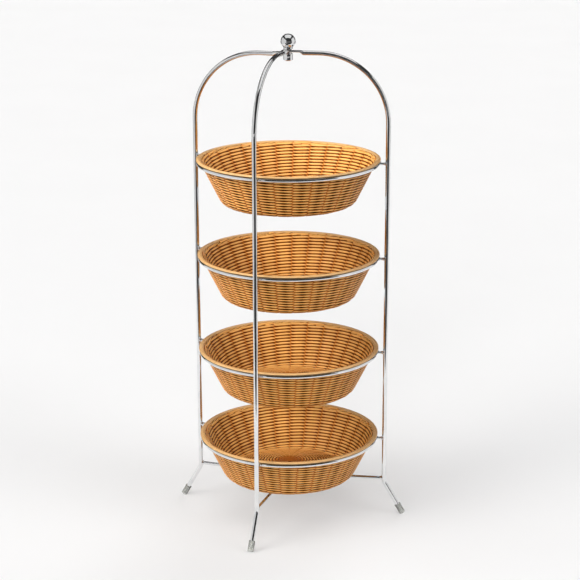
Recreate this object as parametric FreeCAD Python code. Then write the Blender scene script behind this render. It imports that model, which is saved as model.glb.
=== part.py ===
import FreeCAD, Part
import math
import os

# Tiered basket rack. Millimetres, +Z up, origin on the floor under the finial, front leg towards -Y.

V = FreeCAD.Vector
UP = V(0, 0, 1)

# Baskets
RIM_RADIUS = 200.0          # outside of the rolled border
BORDER_HEIGHT = 4.6         # the roll from its underside to its top
BORDER_ROUNDING = 1.5       # its outer edges
BORDER_OVERHANG = 6.0       # the border beyond the side's outer line, at the border's middle
FOOT_RADIUS = 145.0         # where the side's outer line would meet the underside
BASKET_DEPTH = 98.0         # middle of the border down to the underside
CORNER_RADIUS = 22.0        # outside of the turn from side to base
WEAVE_THICKNESS = 6.0       # side and base
BASE_RISE = 20.0            # middle of the base above its edge, so that the basket stands on its rim
BASE_STEPS = 2              # flats from the base's edge to its middle
CORNER_STEPS = 2            # flats in the turn from side to base
HOOP_SIDES = 48             # flats round the baskets and rings
BASE_SEAM = 0.3             # between the base and the side woven on to it

# Rings and their heights, at the middle of the wire
RING_WIRE = 8.0
RING_HEIGHTS = {"top": 808.0, "upper": 596.0, "lower": 381.5, "bottom": 179.5}
SEAT_GAP = 0.35             # under the border, where a basket hangs on its ring
SIDE_GAP = 0.5              # between a ring and the side of its basket
RING_SIDES = 6              # flats round the wire of a ring

# Legs
LEG_ROD = 10.0
LEG_ANGLES = {"left": 180.0, "right": 11.5, "front": -90.0}
STUB_LENGTH = 11.0          # clear between a ring and a leg
STUB_ROD = 6.0
ARCH_RADIUS = 150.0         # bend from upright to the run towards the hub
FOOT_BEND_RADIUS = 25.0
FOOT_SPLAY = 30.0           # degrees from upright
BEND_BELOW_BRACE = 7.0      # the foot bend's corner below the braces
ROD_SIDES = 12              # flats round the legs and braces
STUB_SIDES = 8

# Braces under the bottom basket
BRACE_ROD = 8.0
BRACE_BEND_RADIUS = 80.0
BRACE_GAP = 0.6             # between the braces and the bottom basket
WELD_GAP = 0.1              # between welded rods

# Hub
HUB_HEIGHT = 1040.5         # middle of the lowest rod's run to the hub
HUB_STACK = ("left", "right", "front")  # pressed ends, lowest first
TAB_THICKNESS = 3.5
TAB_WIDTH = 15.0
TAB_ROOT = 25.0             # from the axis to where the pressed end starts
TAB_BLEND = 5.0             # from full rod to pressed end
STUD_DIAMETER = 8.0
STUD_GAP = 0.2              # round the stud
STUD_GRIP = 10.0            # length of the stud in the ball and in the nut
BALL_DIAMETER = 32.0
COLLAR_DIAMETER = 20.0
COLLAR_HEIGHT = 3.0
NUT_DIAMETER = 20.0
NUT_HEIGHT = 15.0
NUT_ROUNDING = 3.0
TURNED_SIDES = 16           # flats round the ball, the nut and the caps
BALL_STEPS = 7              # flats from the ball's neck to its top

# Foot caps
CAP_WALL = 1.9              # plastic round the rod
CAP_LENGTH = 24.0
CAP_FLOOR = 3.0             # plastic under the rod's end
CAP_ROUNDING = 2.0          # lower edge
CAP_LIP = 1.0               # bevel of the upper edge
CAP_GAP = 0.1               # between the rod and its cap
SOLE_DEPTH = 1.0            # how much of the cap's lower edge is cut flat

# Places that follow from the sizes above, in a basket's own heights from the middle of its border
RING_R = RING_WIRE / 2
LEG_R = LEG_ROD / 2
CAP_BORE_R = LEG_R + CAP_GAP
CAP_R = CAP_BORE_R + CAP_WALL
WALL_TOP_RADIUS = RIM_RADIUS - BORDER_OVERHANG
WALL_LEAN = math.atan2(WALL_TOP_RADIUS - FOOT_RADIUS, BASKET_DEPTH)
RING_DROP = BORDER_HEIGHT / 2 + SEAT_GAP + RING_R
RING_RADIUS = WALL_TOP_RADIUS + (RING_R + SIDE_GAP - RING_DROP * math.sin(WALL_LEAN)) / math.cos(WALL_LEAN)
LEG_RADIUS = RING_RADIUS + RING_R + STUB_LENGTH + LEG_R
BRACE_HEIGHT = RING_HEIGHTS["bottom"] + RING_DROP - BASKET_DEPTH - BRACE_GAP - BRACE_ROD / 2
FOOT_BEND_HEIGHT = BRACE_HEIGHT - BEND_BELOW_BRACE


def turned(shape, angle):
    """A copy turned about the rack's axis, from the +X direction."""
    copy = shape.copy()
    copy.rotate(V(0, 0, 0), UP, angle)
    return copy


def raised(shape, height):
    """A copy lifted by a height."""
    copy = shape.copy()
    copy.translate(V(0, 0, height))
    return copy


def radial(radius, height):
    """A point in the upright plane through +X."""
    return V(radius, 0, height)


def section(middle, across, along, radius, sides):
    """Corners of a rod's section: a regular polygon on a circle, square to the direction along."""
    beside = along.cross(across)
    corners = []
    for k in range(sides):
        a = 2 * math.pi * (k + 0.5) / sides
        corners.append(middle + across * (radius * math.cos(a)) + beside * (radius * math.sin(a)))
    return corners


def closed_wire(corners):
    return Part.makePolygon(corners + corners[:1])


def rod(points, bends, radius, across, sides=ROD_SIDES):
    """A rod through points in one plane, square to across, with a bend at each inner point."""
    pieces = []
    start = points[0]
    for i in range(1, len(points)):
        along = (points[i] - points[i - 1]).normalize()
        last = i == len(points) - 1
        if not last:
            onward = (points[i + 1] - points[i]).normalize()
            turn = along.getAngle(onward)
            cut = bends[i - 1] * math.tan(turn / 2)
        end = points[i] if last else points[i] - along * cut
        face = Part.Face(closed_wire(section(start, across, along, radius, sides)))
        pieces.append(face.extrude(end - start))
        if not last:
            axis = along.cross(onward).normalize()
            centre = end + axis.cross(along) * bends[i - 1]
            face = Part.Face(closed_wire(section(end, across, along, radius, sides)))
            pieces.append(face.revolve(centre, axis, math.degrees(turn)))
            start = points[i] + onward * cut
    if len(pieces) == 1:
        return pieces[0]
    return pieces[0].multiFuse(pieces[1:]).removeSplitter()


def flat_sided(profile, sides):
    """A turned piece drawn with flats: a closed profile of (radius, height) carried round the axis."""
    def corner(point, k):
        a = 2 * math.pi * k / sides
        return V(point[0] * math.cos(a), point[0] * math.sin(a), point[1])

    faces = []
    for low, high in zip(profile, profile[1:] + profile[:1]):
        if low[0] == 0 and high[0] == 0:
            continue
        for k in range(sides):
            corners = [corner(low, k)]
            if low[0] > 0:
                corners.append(corner(low, k + 1))
            if high[0] > 0:
                corners.append(corner(high, k + 1))
            corners.append(corner(high, k))
            faces.append(Part.Face(closed_wire(corners)))
    shell = Part.makeShell(faces)
    shell.sewShape()
    return Part.makeSolid(shell)


def wall_radius(height, inset=0.0):
    """The side's radius at a height, or that of the same wall moved in by inset."""
    return WALL_TOP_RADIUS + height * math.tan(WALL_LEAN) - inset / math.cos(WALL_LEAN)


def corner_arc(inset):
    """The turn from base to side as (radius, height), base end first."""
    half_turn = (math.pi / 2 - WALL_LEAN) / 2
    centre_r = FOOT_RADIUS - CORNER_RADIUS * math.tan(half_turn)
    centre_z = CORNER_RADIUS - BASKET_DEPTH
    radius = CORNER_RADIUS - inset
    points = []
    for k in range(CORNER_STEPS + 1):
        a = -math.pi / 2 + 2 * half_turn * k / CORNER_STEPS
        points.append((centre_r + radius * math.cos(a), centre_z + radius * math.sin(a)))
    return points


BASE_RADIUS = corner_arc(0.0)[0][0]
BORDER_UNDER = -BORDER_HEIGHT / 2


def basket_side():
    """The woven wall: open at the base, flat on top where the border sits."""
    outside = corner_arc(0.0) + [(wall_radius(BORDER_UNDER), BORDER_UNDER)]
    inside = corner_arc(WEAVE_THICKNESS) + [(wall_radius(BORDER_UNDER, WEAVE_THICKNESS), BORDER_UNDER)]
    return flat_sided(outside + inside[::-1], HOOP_SIDES)


def basket_base():
    """The woven floor inside the lower edge of the side, domed up to its middle."""
    edge = BASE_RADIUS - BASE_SEAM
    under = []
    for k in range(BASE_STEPS + 1):
        radius = edge * k / BASE_STEPS
        under.append((radius, BASE_RISE * (1 - (radius / edge) ** 2) - BASKET_DEPTH))
    above = [(radius, height + WEAVE_THICKNESS) for radius, height in under]
    return flat_sided(under + above[::-1], HOOP_SIDES)


def basket_border():
    """The roll on top of the side: flat below, rounded outwards, following the wall inside."""
    half = BORDER_HEIGHT / 2
    profile = [
        (wall_radius(-half, WEAVE_THICKNESS), -half),
        (RIM_RADIUS - BORDER_ROUNDING, -half),
        (RIM_RADIUS, BORDER_ROUNDING - half),
        (RIM_RADIUS, half - BORDER_ROUNDING),
        (RIM_RADIUS - BORDER_ROUNDING, half),
        (wall_radius(half, WEAVE_THICKNESS), half),
    ]
    return flat_sided(profile, HOOP_SIDES)


def ring(grown=0.0):
    """A basket ring at height 0: the section of its wire carried round the rack's axis."""
    corners = section(radial(RING_RADIUS, 0), V(1, 0, 0), V(0, -1, 0), RING_R + grown, RING_SIDES)
    return flat_sided([(c.x, c.z) for c in corners], HOOP_SIDES)


def rod_height(name):
    """Middle of a leg's run to the hub: the pressed ends lie on one another."""
    return HUB_HEIGHT + HUB_STACK.index(name) * TAB_THICKNESS


def foot_direction():
    splay = math.radians(FOOT_SPLAY)
    return radial(math.sin(splay), -math.cos(splay))


def cap_end():
    """Middle of a cap's square end, set so that its lower edge would reach SOLE_DEPTH below the floor."""
    splay = math.radians(FOOT_SPLAY)
    height = (CAP_R - CAP_ROUNDING) * math.sin(splay) - SOLE_DEPTH
    bend = radial(LEG_RADIUS, FOOT_BEND_HEIGHT)
    return bend + foot_direction() * ((FOOT_BEND_HEIGHT - height) / math.cos(splay))


def pressed(corners, middle):
    """A rod's section pressed flat, its top level with the rod's."""
    rise = LEG_R * math.cos(math.pi / ROD_SIDES) - TAB_THICKNESS / 2
    widest = math.cos(math.pi / ROD_SIDES)
    flat = []
    for corner in corners:
        side = (corner.y - middle.y) / LEG_R
        height = (corner.z - middle.z) / LEG_R * TAB_THICKNESS
        height = max(-TAB_THICKNESS / 2, min(TAB_THICKNESS / 2, height))
        flat.append(V(middle.x, side / widest * TAB_WIDTH / 2, middle.z + rise + height))
    return flat


def hub_tab(height):
    """The pressed and drilled end of a leg whose run is at this height."""
    across = V(0, 1, 0)
    inward = V(-1, 0, 0)
    full = radial(TAB_ROOT + TAB_BLEND, height)
    root = radial(TAB_ROOT, height)
    round_section = section(full, across, inward, LEG_R, ROD_SIDES)
    flat_section = pressed(section(root, across, inward, LEG_R, ROD_SIDES), root)
    blend = Part.makeLoft([closed_wire(round_section), closed_wire(flat_section)], True, True)
    bar = Part.Face(closed_wire(flat_section)).extrude(inward * TAB_ROOT)
    under = tab_underside(height)
    eye = Part.makeCylinder(TAB_WIDTH / 2, TAB_THICKNESS, V(0, 0, under))
    hole = Part.makeCylinder(STUD_DIAMETER / 2 + STUD_GAP, TAB_THICKNESS, V(0, 0, under))
    return [blend, bar.fuse(eye).cut(hole)]


def tab_underside(height):
    return height + LEG_R * math.cos(math.pi / ROD_SIDES) - TAB_THICKNESS


def leg(name):
    """One rod from inside its foot cap up to the hub, standing towards +X."""
    height = rod_height(name)
    path = [
        cap_end() - foot_direction() * CAP_FLOOR,
        radial(LEG_RADIUS, FOOT_BEND_HEIGHT),
        radial(LEG_RADIUS, height),
        radial(TAB_ROOT + TAB_BLEND, height),
    ]
    body = rod(path, [FOOT_BEND_RADIUS, ARCH_RADIUS], LEG_R, V(0, 1, 0))
    return body.multiFuse(hub_tab(height)).removeSplitter()


def upright(grown):
    """A leg's straight stretch beside the rings and braces, thickened, to cut what is welded to it."""
    ends = [radial(LEG_RADIUS, BRACE_HEIGHT - BRACE_ROD), radial(LEG_RADIUS, HUB_HEIGHT - ARCH_RADIUS)]
    return rod(ends, [], LEG_R + grown, V(0, 1, 0))


def ring_stub(angle):
    """A stub at height 0 towards a leg, coped to the ring and to the leg."""
    ends = [radial(RING_RADIUS, 0), radial(LEG_RADIUS, 0)]
    body = rod(ends, [], STUB_ROD / 2, UP, STUB_SIDES)
    post = raised(upright(WELD_GAP), -BRACE_HEIGHT - LEG_ROD)
    return turned(body.cut(post), angle).cut(ring(WELD_GAP))


def foot_cap():
    """A cap on a rod's end towards +X: square to the rod, its lower edge cut flat on the floor."""
    profile = [
        (0, 0),
        (CAP_R - CAP_ROUNDING, 0),
        (CAP_R, CAP_ROUNDING),
        (CAP_R, CAP_LENGTH - CAP_LIP),
        (CAP_R - CAP_LIP, CAP_LENGTH),
        (CAP_BORE_R, CAP_LENGTH),
        (CAP_BORE_R, CAP_FLOOR),
        (0, CAP_FLOOR),
    ]
    body = flat_sided(profile, TURNED_SIDES)
    body.Placement = FreeCAD.Placement(cap_end(), FreeCAD.Rotation(UP, foot_direction() * -1))
    below = Part.makeBox(CAP_LENGTH * 2, CAP_LENGTH * 2, CAP_LENGTH)
    below.translate(radial(cap_end().x, 0) - V(CAP_LENGTH, CAP_LENGTH, CAP_LENGTH))
    return body.cut(below)


def leg_foot(name, height):
    """A point on a leg's upright at a height."""
    a = math.radians(LEG_ANGLES[name])
    return V(LEG_RADIUS * math.cos(a), LEG_RADIUS * math.sin(a), height)


def side_brace(grown=0.0):
    """The rod from the left leg to the right leg, bent under the middle of the rack and coped to both."""
    path = [leg_foot("left", BRACE_HEIGHT), V(0, 0, BRACE_HEIGHT), leg_foot("right", BRACE_HEIGHT)]
    body = rod(path, [BRACE_BEND_RADIUS], BRACE_ROD / 2 + grown, UP)
    for name in ("left", "right"):
        body = body.cut(turned(upright(WELD_GAP), LEG_ANGLES[name]))
    return body


def front_brace():
    """The rod from the front leg to the middle of the side brace, coped at both ends."""
    body = rod([leg_foot("front", BRACE_HEIGHT), V(0, 0, BRACE_HEIGHT)], [], BRACE_ROD / 2, UP)
    body = body.cut(turned(upright(WELD_GAP), LEG_ANGLES["front"]))
    return body.cut(side_brace(WELD_GAP))


STACK_UNDER = tab_underside(rod_height(HUB_STACK[0]))
STACK_TOP = tab_underside(rod_height(HUB_STACK[-1])) + TAB_THICKNESS


def finial_ball():
    """The ball on its collar as one turned piece, with the stud's hole from below."""
    ball_r = BALL_DIAMETER / 2
    collar_r = COLLAR_DIAMETER / 2
    hole_r = STUD_DIAMETER / 2 + STUD_GAP
    hole_top = STACK_TOP + STUD_GRIP
    start = -math.acos(collar_r / ball_r)
    middle = STACK_TOP + COLLAR_HEIGHT - ball_r * math.sin(start)
    profile = [(0, hole_top), (hole_r, hole_top), (hole_r, STACK_TOP), (collar_r, STACK_TOP)]
    for k in range(BALL_STEPS):
        a = start + (math.pi / 2 - start) * k / BALL_STEPS
        profile.append((ball_r * math.cos(a), middle + ball_r * math.sin(a)))
    profile.append((0, middle + ball_r))
    return flat_sided(profile, TURNED_SIDES)


def hub_nut():
    """The round nut under the pressed ends, rounded below, with the stud's hole from above."""
    outer = NUT_DIAMETER / 2
    hole_r = STUD_DIAMETER / 2 + STUD_GAP
    low = STACK_UNDER - NUT_HEIGHT
    profile = [
        (0, low),
        (outer - NUT_ROUNDING, low),
        (outer, low + NUT_ROUNDING),
        (outer, STACK_UNDER),
        (hole_r, STACK_UNDER),
        (hole_r, STACK_UNDER - STUD_GRIP),
        (0, STACK_UNDER - STUD_GRIP),
    ]
    return flat_sided(profile, TURNED_SIDES)


def hub_stud():
    """The stud that draws the ball and the nut together."""
    length = STACK_TOP - STACK_UNDER + 2 * STUD_GRIP
    return Part.makeCylinder(STUD_DIAMETER / 2, length, V(0, 0, STACK_UNDER - STUD_GRIP))


def all_pieces():
    """Every piece by name, in place."""
    pieces = {}
    cap = foot_cap()
    hoop = ring()
    basket = {"base": basket_base(), "side": basket_side(), "border": basket_border()}
    stubs = {}
    for name, angle in LEG_ANGLES.items():
        pieces[f"{name}_leg"] = turned(leg(name), angle)
        pieces[f"{name}_foot_cap"] = turned(cap, angle)
        stubs[name] = ring_stub(angle)
    for tier, height in RING_HEIGHTS.items():
        pieces[f"{tier}_ring"] = raised(hoop, height)
        for name, stub in stubs.items():
            pieces[f"{tier}_ring_{name}_stub"] = raised(stub, height)
        for part, shape in basket.items():
            pieces[f"{tier}_basket_{part}"] = raised(shape, height + RING_DROP)
    pieces["side_brace"] = side_brace()
    pieces["front_brace"] = front_brace()
    pieces["finial_ball"] = finial_ball()
    pieces["hub_nut"] = hub_nut()
    pieces["hub_stud"] = hub_stud()
    return pieces


os.makedirs("parts", exist_ok=True)
for name, shape in all_pieces().items():
    solids = shape.Solids
    if len(solids) != 1 or not shape.isValid():
        raise ValueError(f"{name} is not one sound solid")
    solids[0].exportStep(f"parts/{name}.step")
    print(f"{name}: {solids[0].Volume / 1000:.1f} cm3")
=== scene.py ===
# %% [markdown]
# # A tiered wicker basket rack
# Three chromed rods meet under a ball and carry four rings, and a round woven basket hangs in each ring.
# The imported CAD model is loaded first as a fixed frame. It gives the places and sizes, and every visible
# surface is then worked out around it with numpy.

# %% Load the frame
import math

import bpy
import numpy as np
from mathutils import Euler, Matrix, Vector


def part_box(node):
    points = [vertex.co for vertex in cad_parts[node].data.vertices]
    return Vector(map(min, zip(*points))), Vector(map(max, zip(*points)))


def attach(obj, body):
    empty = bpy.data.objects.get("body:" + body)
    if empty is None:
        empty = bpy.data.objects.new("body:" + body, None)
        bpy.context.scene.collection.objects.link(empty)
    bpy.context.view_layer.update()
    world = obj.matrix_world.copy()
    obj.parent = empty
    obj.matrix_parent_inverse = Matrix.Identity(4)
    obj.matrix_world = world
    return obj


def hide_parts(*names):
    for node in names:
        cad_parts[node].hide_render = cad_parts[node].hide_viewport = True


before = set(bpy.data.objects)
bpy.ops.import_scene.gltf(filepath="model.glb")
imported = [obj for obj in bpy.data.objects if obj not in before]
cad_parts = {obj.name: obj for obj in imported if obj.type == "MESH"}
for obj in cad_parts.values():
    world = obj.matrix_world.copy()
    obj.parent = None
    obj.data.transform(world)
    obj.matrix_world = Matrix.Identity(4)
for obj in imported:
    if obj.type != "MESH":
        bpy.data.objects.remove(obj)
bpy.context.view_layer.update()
MM = 0.001
TIERS = ("top", "upper", "lower", "bottom")

# %% [markdown]
# ## Camera
# The photograph was taken from a little above, with a long lens, so the four rims are flat ellipses that
# open slowly towards the floor. A lens of about 110 mm on a 36 mm sensor gives that. The camera is turned
# about the rack's axis until the front leg stands left of the middle.

# %% Camera
CAMERA_TURN = math.radians(18.9)
CAMERA_DISTANCE = 3754.4 * MM
CAMERA_SIDE = 2.9 * MM
CAMERA_HEIGHT = 1596.3 * MM
CAMERA_PITCH = math.radians(16.02)
CAMERA_ROLL = -0.0023
CAMERA_LENS = 109.7


def studio_place(side, ahead, height):
    """A point given from the camera's side of the rack: to the right, away from the camera, and up."""
    c, s = math.cos(CAMERA_TURN), math.sin(CAMERA_TURN)
    return Vector((side * c - ahead * s, side * s + ahead * c, height))


camera_data = bpy.data.cameras.new("camera")
camera_data.lens = CAMERA_LENS
camera_data.sensor_width = 36.0
camera_data.clip_end = 200.0
camera = bpy.data.objects.new("camera", camera_data)
aim = Euler((math.pi / 2 - CAMERA_PITCH, 0.0, CAMERA_TURN)).to_matrix() @ Matrix.Rotation(CAMERA_ROLL, 3, "Z")
place = studio_place(CAMERA_SIDE, -CAMERA_DISTANCE, CAMERA_HEIGHT)
camera.matrix_world = Matrix.Translation(place) @ aim.to_4x4()
bpy.context.scene.collection.objects.link(camera)
bpy.context.scene.camera = camera
print("camera at", [round(x, 3) for x in place])

# %% [markdown]
# ## From arrays to meshes
# Nearly everything here is a section carried along a line: a round rod, a flattened rod end, a strand of
# cane. One function lays out such tubes as a grid of points, (tube, station along it, point round it), so
# many tubes can be worked out at once. Blender's bevelled curves could draw the rods, but here every
# station can have a section of its own.

# %% Meshes from points
def put_mesh(name, points, *face_sets, attributes=()):
    """A smooth-shaded object from points (n, 3) and arrays of faces, with loops in the order of the faces."""
    points = np.asarray(points, np.float32).reshape(-1, 3)
    loops = np.concatenate([faces.ravel() for faces in face_sets]).astype(np.int32)
    sizes = np.concatenate([np.full(len(faces), faces.shape[1]) for faces in face_sets])
    starts = np.concatenate([[0], np.cumsum(sizes)[:-1]]).astype(np.int32)
    mesh = bpy.data.meshes.new(name)
    mesh.vertices.add(len(points))
    mesh.vertices.foreach_set("co", points.ravel())
    mesh.loops.add(len(loops))
    mesh.loops.foreach_set("vertex_index", loops)
    mesh.polygons.add(len(sizes))
    mesh.polygons.foreach_set("loop_start", starts)
    mesh.polygons.foreach_set("use_smooth", np.ones(len(sizes), bool))
    mesh.update(calc_edges=True)
    for key, values in attributes:
        layer = mesh.attributes.new(key, "FLOAT", "POINT")
        layer.data.foreach_set("value", np.asarray(values, np.float32).ravel())
    piece = bpy.data.objects.new(name, mesh)
    bpy.context.scene.collection.objects.link(piece)
    return piece


def grid_quads(rows, columns, closed=False):
    """Corner numbers of the quads of a grid that goes round in its columns, and in its rows if closed."""
    i, j = np.meshgrid(np.arange(rows if closed else rows - 1), np.arange(columns), indexing="ij")
    i2 = (i + 1) % rows
    j2 = (j + 1) % columns
    corners = [i * columns + j, i2 * columns + j, i2 * columns + j2, i * columns + j2]
    return np.stack(corners, -1).reshape(-1, 4)


print("3 rings of 4 points make", len(grid_quads(3, 4)), "quads")

# %% Tubes
def full_turn(count):
    """Equal steps round a full turn, in radians."""
    return 2 * np.pi * np.arange(count) / count


def end_fans(first, last, middle, sides):
    """Triangles that close tubes: from the first and last rings of each to its two middle points.

    All are numbers of points, in columns, with the middle points of the last rings after the others."""
    ring = np.arange(sides)
    after = (ring + 1) % sides
    first_fan = np.stack([middle + 0 * ring, first + after, first + ring], -1)
    last_fan = np.stack([middle + len(middle) + 0 * ring, last + ring, last + after], -1)
    return np.concatenate([first_fan, last_fan]).reshape(-1, 3)


def unit(v):
    """Directions of length 1."""
    return v / np.linalg.norm(v, axis=-1, keepdims=True)


def dot(a, b):
    """Dot products, kept as columns."""
    return np.sum(a * b, -1, keepdims=True)


def tubes(path, up, half_up, half_side, sides, closed=False, power=2.0):
    """Tubes along paths (tube, station, 3).

    At each station the section is the curve |x/half_side|^power + |y/half_up|^power = 1 square to the path:
    a circle or an ellipse at power 2, nearly a rectangle at higher powers. y is the given up direction made
    square to the path. Open tubes end in a fan of triangles round a middle point."""
    path = np.asarray(path, float)
    count, stations = path.shape[:2]
    if closed:
        along = np.roll(path, -1, 1) - np.roll(path, 1, 1)
    else:
        along = np.gradient(path, axis=1)
    along = unit(along)
    up = np.broadcast_to(np.asarray(up, float), path.shape)
    up = unit(up - dot(up, along) * along)
    side = np.cross(up, along)
    angle = full_turn(sides)
    rounding = 2.0 / np.broadcast_to(np.asarray(power, float), (count, stations))[..., None]
    c = np.sign(np.cos(angle)) * np.abs(np.cos(angle)) ** rounding
    s = np.sign(np.sin(angle)) * np.abs(np.sin(angle)) ** rounding
    high = np.broadcast_to(half_up, (count, stations))[..., None] * s
    wide = np.broadcast_to(half_side, (count, stations))[..., None] * c
    points = path[:, :, None] + side[:, :, None] * wide[..., None] + up[:, :, None] * high[..., None]
    quads = grid_quads(stations, sides, closed)
    per_tube = stations * sides
    shift = (np.arange(count) * per_tube)[:, None, None]
    quads = (quads[None] + shift).reshape(-1, 4)[:, ::-1]
    if closed:
        return points.reshape(-1, 3), quads, np.zeros((0, 3), int)
    ends = np.concatenate([path[:, 0], path[:, -1]])
    order = np.arange(count)[:, None]
    first = order * per_tube
    fans = end_fans(first, first + per_tube - sides, order + count * per_tube, sides)
    return np.concatenate([points.reshape(-1, 3), ends]), quads, fans


print("tube helper ready")

# %% [markdown]
# ## Chrome
# The frame is bright steel rod with a plated finish: a mirror that is not quite perfect. Drawn rod keeps
# faint lumps under the plating and handling leaves a haze, so the roughness wanders a little from place
# to place and a very weak bump bends the reflections. The look itself comes from what the metal mirrors.

# %% Chrome finish
def new_material(name):
    """A node material and its Principled shader."""
    material = bpy.data.materials.new(name)
    material.use_nodes = True
    shader = material.node_tree.nodes["Principled BSDF"]
    return material, material.node_tree, shader


def add_node(tree, kind, **settings):
    """A node with input sockets set by name."""
    node = tree.nodes.new(kind)
    for key, value in settings.items():
        node.inputs[key.replace("_", " ")].default_value = value
    return node


def ramp(tree, source, *stops):
    """A colour ramp on a value, with stops of (position, colour)."""
    node = tree.nodes.new("ShaderNodeValToRGB")
    elements = node.color_ramp.elements
    while len(elements) < len(stops):
        elements.new(0.5)
    for element, (position, colour) in zip(elements, stops):
        element.position = position
        element.color = (*colour, 1.0)
    tree.links.new(source, node.inputs["Fac"])
    return node.outputs["Color"]


def spread(tree, source, low, high, start=0.0):
    """A value from start to 1 mapped to the range from low to high, and kept within it."""
    node = add_node(tree, "ShaderNodeMapRange", From_Min=start, To_Min=low, To_Max=high)
    tree.links.new(source, node.inputs["Value"])
    return node.outputs["Result"]


def bump(tree, shader, height, strength, distance):
    """A bump on the shader's normal from a height value."""
    node = add_node(tree, "ShaderNodeBump", Strength=strength, Distance=distance)
    tree.links.new(height, node.inputs["Height"])
    tree.links.new(node.outputs["Normal"], shader.inputs["Normal"])


def object_noise(tree, scale, detail=3.0):
    """Noise on the piece's own coordinates, in metres."""
    place = tree.nodes.new("ShaderNodeTexCoord")
    noise = add_node(tree, "ShaderNodeTexNoise", Scale=scale, Detail=detail)
    tree.links.new(place.outputs["Object"], noise.inputs["Vector"])
    return noise.outputs["Fac"]


def chrome_finish():
    """Plated steel: a mirror with a wandering haze and faint lumps."""
    material, tree, shader = new_material("bright_chrome")
    shader.inputs["Metallic"].default_value = 1.0
    haze = object_noise(tree, 38.0)
    tint = ramp(tree, haze, (0.3, (0.78, 0.79, 0.80)), (0.7, (0.88, 0.88, 0.88)))
    tree.links.new(tint, shader.inputs["Base Color"])
    tree.links.new(spread(tree, haze, 0.03, 0.11), shader.inputs["Roughness"])
    bump(tree, shader, object_noise(tree, 120.0, 2.0), 0.06, 0.001)
    return material


CHROME = chrome_finish()


def give(piece, material, slot, body, *nodes):
    """Finishes a piece: its material, its body, and the CAD nodes that it replaces; its record slot is not
    used.
    """
    piece.data.materials.append(material)
    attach(piece, body)
    if nodes:
        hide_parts(*nodes)


stud_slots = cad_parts["hub_stud"].material_slots
stud_slots[0].material = CHROME
print("hub stud keeps its CAD shape, inside the hub, in chrome")

# %% [markdown]
# ## Rings
# Each basket hangs on a ring of 8 mm wire bent round and butt welded. It is a torus: a small circle carried
# round a large one. The frame gives the height and the wire, and the radius follows from the ring's box.

# %% Rings
WIRE_FLATS = 6
RING_STATIONS = 160
RING_SIDES = 20


def ring_size(tier):
    """Middle radius, height and wire radius of a ring, from the box of its flat-sided CAD solid."""
    low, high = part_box(f"{tier}_ring")
    wire = (high[2] - low[2]) / 2
    return high[0] - wire * math.cos(math.pi / WIRE_FLATS), (low[2] + high[2]) / 2, wire


def spun(line, angle):
    """Points or directions (radius, height) turned to their angle about the axis."""
    radius, height = line[..., 0], line[..., 1]
    return np.stack([radius * np.cos(angle), radius * np.sin(angle), height + 0 * angle], -1)


for tier in TIERS:
    radius, height, wire = ring_size(tier)
    path = spun(np.array([radius, height]), full_turn(RING_STATIONS))
    torus = tubes(path[None], (0, 0, 1), wire, wire, RING_SIDES, closed=True)
    give(put_mesh(f"{tier}_ring_wire", *torus), CHROME, "chrome", "frame", f"{tier}_ring")
RING_RADIUS, _, RING_WIRE = ring_size("top")
print("rings of radius", round(RING_RADIUS, 4), "in wire of", round(2 * RING_WIRE, 4))

# %% [markdown]
# ## Legs
# A leg is one rod: it rises from the splayed foot, turns in a wide arch towards the middle, and ends in an
# eye that is pressed flat so that the three ends lie on one another. The path is straight runs joined by
# arcs. Near the end the round section becomes wide and flat, and a higher power in the section's formula
# squares its corners, so one tube makes the rod and its pressed end. One station lies close to the foot's
# cut end, or smooth shading would bend the reflections along the whole foot.

# %% Legs
LEG_ANGLES = {"left": math.radians(180.0), "right": math.radians(11.5), "front": math.radians(-90.0)}
HUB_STACK = ("left", "right", "front")
LEG_R = 5.0 * MM
STUB_LENGTH = 11.0 * MM
LEG_RADIUS = RING_RADIUS + RING_WIRE + STUB_LENGTH + LEG_R
ARCH_RADIUS = 150.0 * MM
FOOT_BEND_RADIUS = 25.0 * MM
FOOT_SPLAY = math.radians(30.0)
BEND_BELOW_BRACE = 7.0 * MM
CUT_EDGE = 0.5 * MM
FOOT_END_HEIGHT = 3.0 * MM
ROD_SIDES = 24
BEND_STATIONS = 24
EYE_REACH = math.radians(86.0)
TAB_ROOT = 25.0 * MM
TAB_BLEND = 9.0 * MM
TAB_HALF_WIDTH = 7.5 * MM
TAB_HALF_THICKNESS = 1.75 * MM
TAB_POWER = 5.0
brace_low, brace_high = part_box("front_brace")
BRACE_HEIGHT = (brace_low[2] + brace_high[2]) / 2
BRACE_R = (brace_high[2] - brace_low[2]) / 2
FOOT_BEND_HEIGHT = BRACE_HEIGHT - BEND_BELOW_BRACE
STACK_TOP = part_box("finial_ball")[0][2]
STACK_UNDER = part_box("hub_nut")[1][2]
TAB_STEP = (STACK_TOP - STACK_UNDER) / len(HUB_STACK)


def turned(points, angle):
    """Points turned about the rack's axis."""
    c, s = math.cos(angle), math.sin(angle)
    return points @ np.array([[c, s, 0], [-s, c, 0], [0, 0, 1]])


def bent_line(corners, bends):
    """Straight runs through corners (n, 2) with a tangent arc of the given radius at each inner corner."""
    corners = [np.array(p, float) for p in corners]
    runs = [corners[0][None]]
    for before, corner, after, radius in zip(corners, corners[1:], corners[2:], bends):
        arrive, leave = unit(corner - before), unit(after - corner)
        turn = math.acos(float(np.clip(arrive @ leave, -1, 1)))
        inward = unit(leave - arrive)
        centre = corner + inward * radius / math.cos(turn / 2)
        t = np.linspace(-turn / 2, turn / 2, BEND_STATIONS)[:, None]
        runs.append(centre - radius * (inward * np.cos(t) - unit(arrive + leave) * np.sin(t)))
    runs.append(corners[-1][None])
    return np.concatenate(runs)


def ease(t):
    """0 to 1 with level ends."""
    t = np.clip(t, 0, 1)
    return t * t * (3 - 2 * t)


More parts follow.
